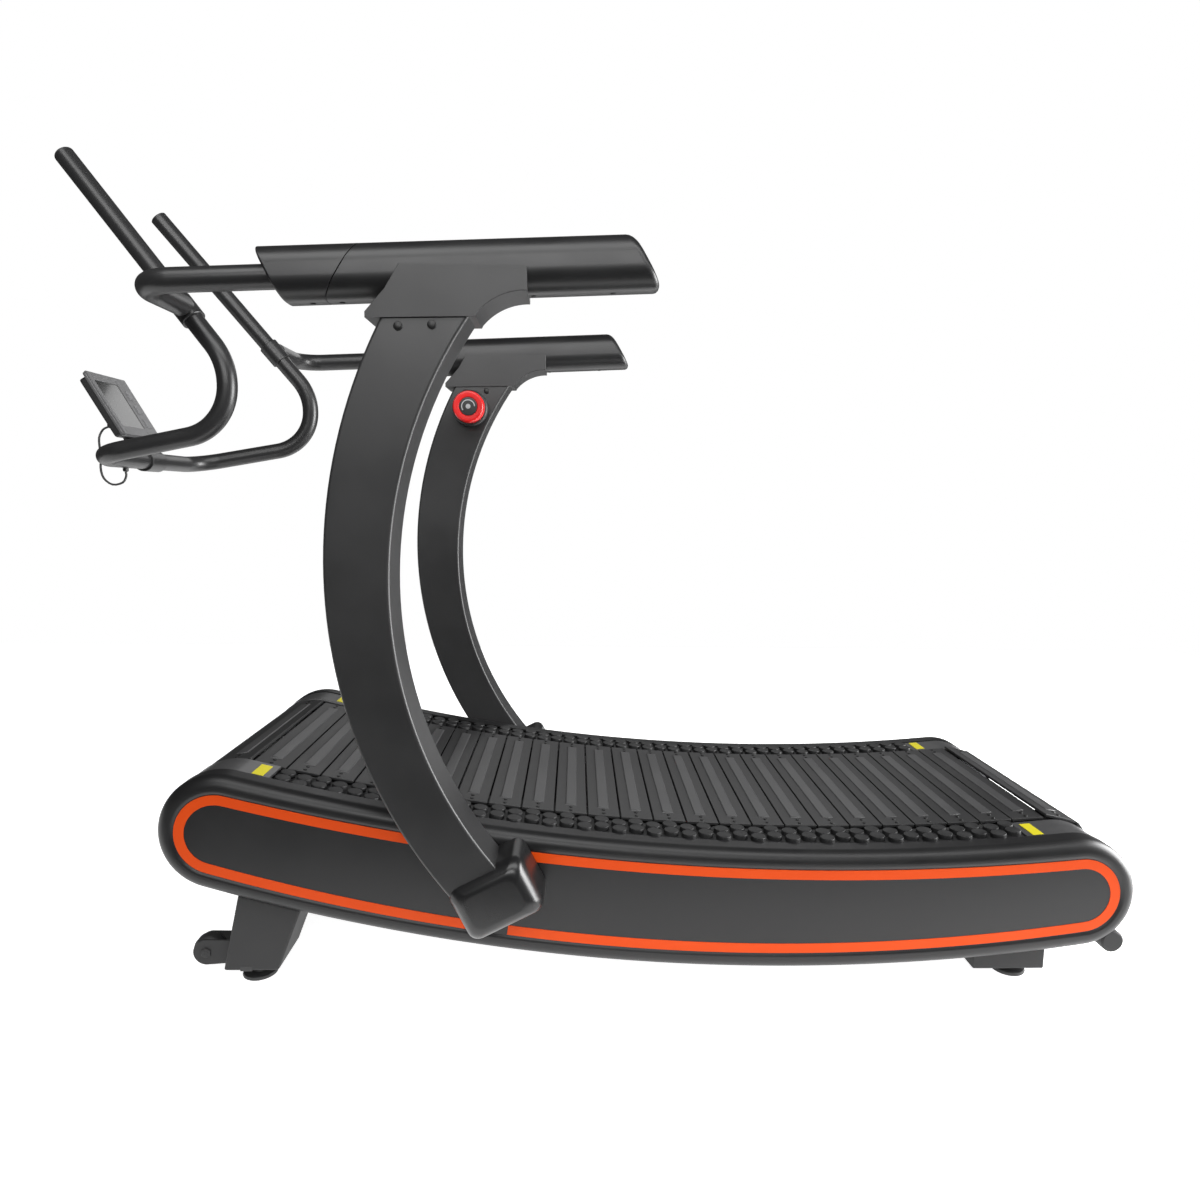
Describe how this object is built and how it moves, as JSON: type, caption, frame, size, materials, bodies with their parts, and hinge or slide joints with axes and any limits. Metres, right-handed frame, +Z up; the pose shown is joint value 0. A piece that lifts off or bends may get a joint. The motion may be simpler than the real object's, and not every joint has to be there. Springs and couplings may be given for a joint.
{
  "type": "curved manual treadmill",
  "caption": "Motorless treadmill: slatted belt on a concave deck between long side covers, curved uprights with padded arms, a horned handlebar with small console, and a round resistance knob.",
  "frame": {"origin": "on the floor, under the middle of the whole length and width", "axes": "+X toward the rear end of the deck, console at -X; +Y toward the right-hand side of a runner facing the console; +Z up"},
  "size_m": [1.9932, 0.864, 1.4779],
  "materials": {
    "frame_steel": "satin black powder coat",
    "axle_steel": "bright turned steel",
    "cover_black": "gloss black moulding with a charcoal recessed face",
    "stripe_orange": "gloss orange trim",
    "rail_black": "matte black",
    "grip_rubber": "matte black rubber",
    "end_cover_grey": "smooth dark grey",
    "caution_yellow": "plain yellow plate",
    "slat_coated": "dark grey satin coating",
    "strap_rubber": "matte black rubber",
    "screw_black": "black oxide",
    "drum_aluminium": "turned",
    "disc_aluminium": "turned",
    "cable_black": "matte black sheath",
    "roller_nylon": "grey nylon",
    "leg_steel": "satin charcoal powder coat",
    "wheel_rubber": "black rubber tyre",
    "foot_rubber": "black rubber pad on a steel stem",
    "upright_steel": "satin charcoal powder coat",
    "boot_black": "satin black moulding",
    "bolt_steel": "black domed bolts",
    "arm_grey": "soft charcoal moulding",
    "bar_steel": "satin black powder coat",
    "cap_black": "black",
    "console_black": "satin black",
    "bezel_grey": "satin grey",
    "screen_glass": "dark display window",
    "key_rubber": "grey keypad",
    "knob_base_black": "satin black",
    "knob_red": "red ring with a black centre"
  },
  "bodies": {
    "frame": {"side_frame_left": "frame_steel", "side_frame_right": "frame_steel", "cross_tubes": "frame_steel", "axle_rods": "axle_steel", "drum_bearings": "axle_steel", "side_cover_left": "cover_black", "side_cover_right": "cover_black", "trim_stripes": "stripe_orange", "foot_rails": "rail_black", "grip_studs": "grip_rubber", "rail_end_covers": "end_cover_grey", "caution_plates": "caution_yellow", "belt_slats": "slat_coated", "belt_straps": "strap_rubber", "slat_screws": "screw_black", "brake_cable": "cable_black", "leg_left": "leg_steel", "leg_right": "leg_steel", "wheel_brackets": "leg_steel", "rear_foot_brackets": "leg_steel", "rear_lift_bar": "leg_steel", "upright_left": "upright_steel", "upright_right": "upright_steel", "post_boots": "boot_black", "post_bolts": "bolt_steel", "arm_shell_left": "arm_grey", "arm_shell_right": "arm_grey", "arm_sleeves": "arm_grey", "arm_screws": "screw_black", "arm_tubes": "bar_steel", "bar_clamps": "bar_steel", "handlebar": "bar_steel", "horn_caps": "cap_black", "console_bracket": "bar_steel", "console_case": "console_black", "console_bezel": "bezel_grey", "console_screen": "screen_glass", "console_cable": "cable_black", "cable_glands": "cap_black", "knob_base": "knob_base_black"},
    "front_drum": {"front_drum": "drum_aluminium", "brake_disc": "disc_aluminium"},
    "rear_drum": {"rear_drum": "drum_aluminium"},
    "magnet_yoke": {"magnet_yoke": "frame_steel"},
    "transport_wheel_left": {"transport_wheel_left": "wheel_rubber"},
    "transport_wheel_right": {"transport_wheel_right": "wheel_rubber"},
    "resistance_knob": {"resistance_knob": "knob_red"},
    "guide_roller_1": {"guide_roller_1": "roller_nylon"},
    "guide_roller_2": {"guide_roller_2": "roller_nylon"},
    "guide_roller_3": {"guide_roller_3": "roller_nylon"},
    "guide_roller_4": {"guide_roller_4": "roller_nylon"},
    "guide_roller_5": {"guide_roller_5": "roller_nylon"},
    "guide_roller_6": {"guide_roller_6": "roller_nylon"},
    "foot_front_left": {"foot_front_left": "foot_rubber"},
    "foot_front_right": {"foot_front_right": "foot_rubber"},
    "foot_rear_left": {"foot_rear_left": "foot_rubber"},
    "foot_rear_right": {"foot_rear_right": "foot_rubber"},
    "console_key_1": {"console_key_1": "key_rubber"},
    "console_key_2": {"console_key_2": "key_rubber"},
    "console_key_3": {"console_key_3": "key_rubber"}
  },
  "joints": [
    {"name": "front_drum_spin", "type": "hinge", "parent": "frame", "child": "front_drum", "pos_m": [-0.65396, 0, 0.29362], "axis": [0, 1, 0], "continuous": true},
    {"name": "rear_drum_spin", "type": "hinge", "parent": "frame", "child": "rear_drum", "pos_m": [0.89604, 0, 0.18229], "axis": [0, 1, 0], "continuous": true},
    {"name": "guide_roller_1_spin", "type": "hinge", "parent": "frame", "child": "guide_roller_1", "pos_m": [-0.52396, 0, 0.32299], "axis": [0, 1, 0], "continuous": true},
    {"name": "guide_roller_2_spin", "type": "hinge", "parent": "frame", "child": "guide_roller_2", "pos_m": [-0.26596, 0, 0.27655], "axis": [0, 1, 0], "continuous": true},
    {"name": "guide_roller_3_spin", "type": "hinge", "parent": "frame", "child": "guide_roller_3", "pos_m": [-0.00796, 0, 0.24421], "axis": [0, 1, 0], "continuous": true},
    {"name": "guide_roller_4_spin", "type": "hinge", "parent": "frame", "child": "guide_roller_4", "pos_m": [0.25004, 0, 0.2257], "axis": [0, 1, 0], "continuous": true},
    {"name": "guide_roller_5_spin", "type": "hinge", "parent": "frame", "child": "guide_roller_5", "pos_m": [0.50804, 0, 0.22084], "axis": [0, 1, 0], "continuous": true},
    {"name": "guide_roller_6_spin", "type": "hinge", "parent": "frame", "child": "guide_roller_6", "pos_m": [0.76604, 0, 0.22961], "axis": [0, 1, 0], "continuous": true},
    {"name": "transport_wheel_left_spin", "type": "hinge", "parent": "frame", "child": "transport_wheel_left", "pos_m": [-0.69796, -0.275, 0.049], "axis": [0, 1, 0], "continuous": true},
    {"name": "transport_wheel_right_spin", "type": "hinge", "parent": "frame", "child": "transport_wheel_right", "pos_m": [-0.69796, 0.275, 0.049], "axis": [0, 1, 0], "continuous": true},
    {"name": "foot_front_left_level", "type": "slide", "parent": "frame", "child": "foot_front_left", "axis": [0, 0, 1], "range_m": [-0.01, 0.005]},
    {"name": "foot_front_right_level", "type": "slide", "parent": "frame", "child": "foot_front_right", "axis": [0, 0, 1], "range_m": [-0.01, 0.005]},
    {"name": "foot_rear_left_level", "type": "slide", "parent": "frame", "child": "foot_rear_left", "axis": [0, 0, 1], "range_m": [-0.01, 0.005]},
    {"name": "foot_rear_right_level", "type": "slide", "parent": "frame", "child": "foot_rear_right", "axis": [0, 0, 1], "range_m": [-0.01, 0.005]},
    {"name": "resistance_turn", "type": "hinge", "parent": "frame", "child": "resistance_knob", "pos_m": [-0.29096, 0.304, 1.094], "axis": [0, 1, 0], "range_deg": [0, 270]},
    {"name": "magnet_swing", "type": "hinge", "parent": "frame", "child": "magnet_yoke", "pos_m": [-0.50396, 0.06, 0.23962], "axis": [0, 1, 0], "range_deg": [-15.5, 0.5]},
    {"name": "console_key_1_press", "type": "slide", "parent": "frame", "child": "console_key_1", "axis": [-0.866, 0, -0.5], "range_m": [0, 0.0008], "stiffness_N_per_m": 1000, "springref_m": -0.0005},
    {"name": "console_key_2_press", "type": "slide", "parent": "frame", "child": "console_key_2", "axis": [-0.866, 0, -0.5], "range_m": [0, 0.0008], "stiffness_N_per_m": 1000, "springref_m": -0.0005},
    {"name": "console_key_3_press", "type": "slide", "parent": "frame", "child": "console_key_3", "axis": [-0.866, 0, -0.5], "range_m": [0, 0.0008], "stiffness_N_per_m": 1000, "springref_m": -0.0005}
  ],
  "couplings": [
    {"joint": "rear_drum_spin", "follows": "front_drum_spin", "ratio": 1},
    {"joint": "guide_roller_1_spin", "follows": "front_drum_spin", "ratio": 3.28},
    {"joint": "guide_roller_2_spin", "follows": "front_drum_spin", "ratio": 3.28},
    {"joint": "guide_roller_3_spin", "follows": "front_drum_spin", "ratio": 3.28},
    {"joint": "guide_roller_4_spin", "follows": "front_drum_spin", "ratio": 3.28},
    {"joint": "guide_roller_5_spin", "follows": "front_drum_spin", "ratio": 3.28},
    {"joint": "guide_roller_6_spin", "follows": "front_drum_spin", "ratio": 3.28},
    {"joint": "magnet_swing", "follows": "resistance_turn", "ratio": -0.055556}
  ]
}
